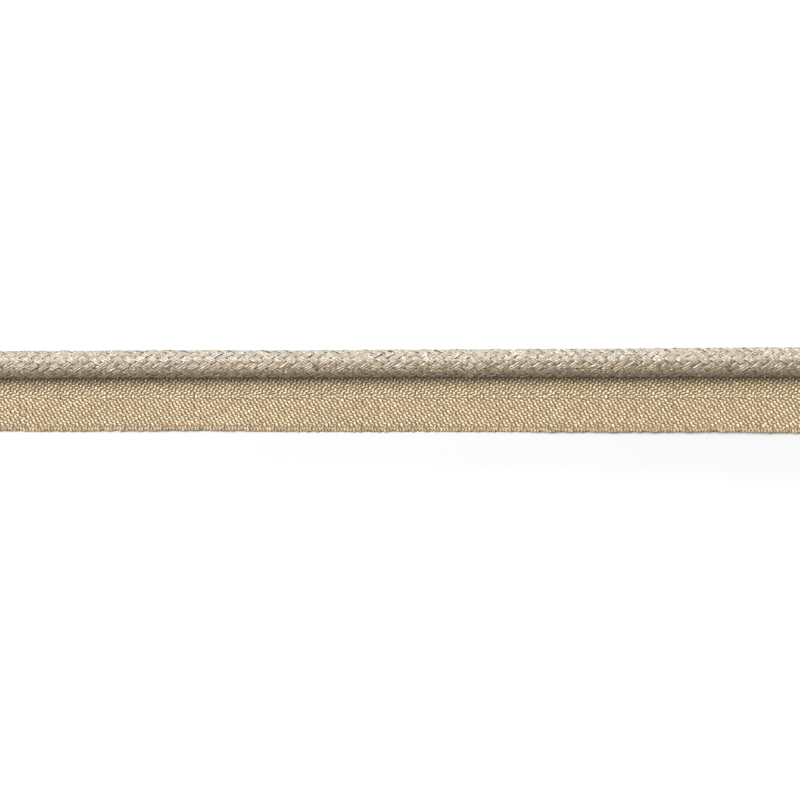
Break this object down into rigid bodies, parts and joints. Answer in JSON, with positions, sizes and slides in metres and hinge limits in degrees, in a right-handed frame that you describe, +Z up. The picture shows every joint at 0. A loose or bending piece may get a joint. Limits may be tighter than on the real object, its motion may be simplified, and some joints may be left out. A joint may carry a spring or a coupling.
{
  "type": "piping trim length",
  "caption": "Straight cut length of lip piping: a round braided cord sewn along one half of a flat woven herringbone tape.",
  "frame": {"origin": "on the surface the length lies on, under the middle of its bounding box", "axes": "+X along the length, +Y across it from the tape's free edge towards the cord, +Z up"},
  "size_m": [0.2, 0.0198, 0.0081],
  "materials": {
    "cord_yarn": "shiny multifilament yarn, braided, silvery taupe",
    "tape_yarn": "spun yarn with a low sheen, woven in a fine herringbone twill, golden beige"
  },
  "bodies": {
    "root": {"cord": "cord_yarn", "tape": "tape_yarn"}
  },
  "joints": []
}
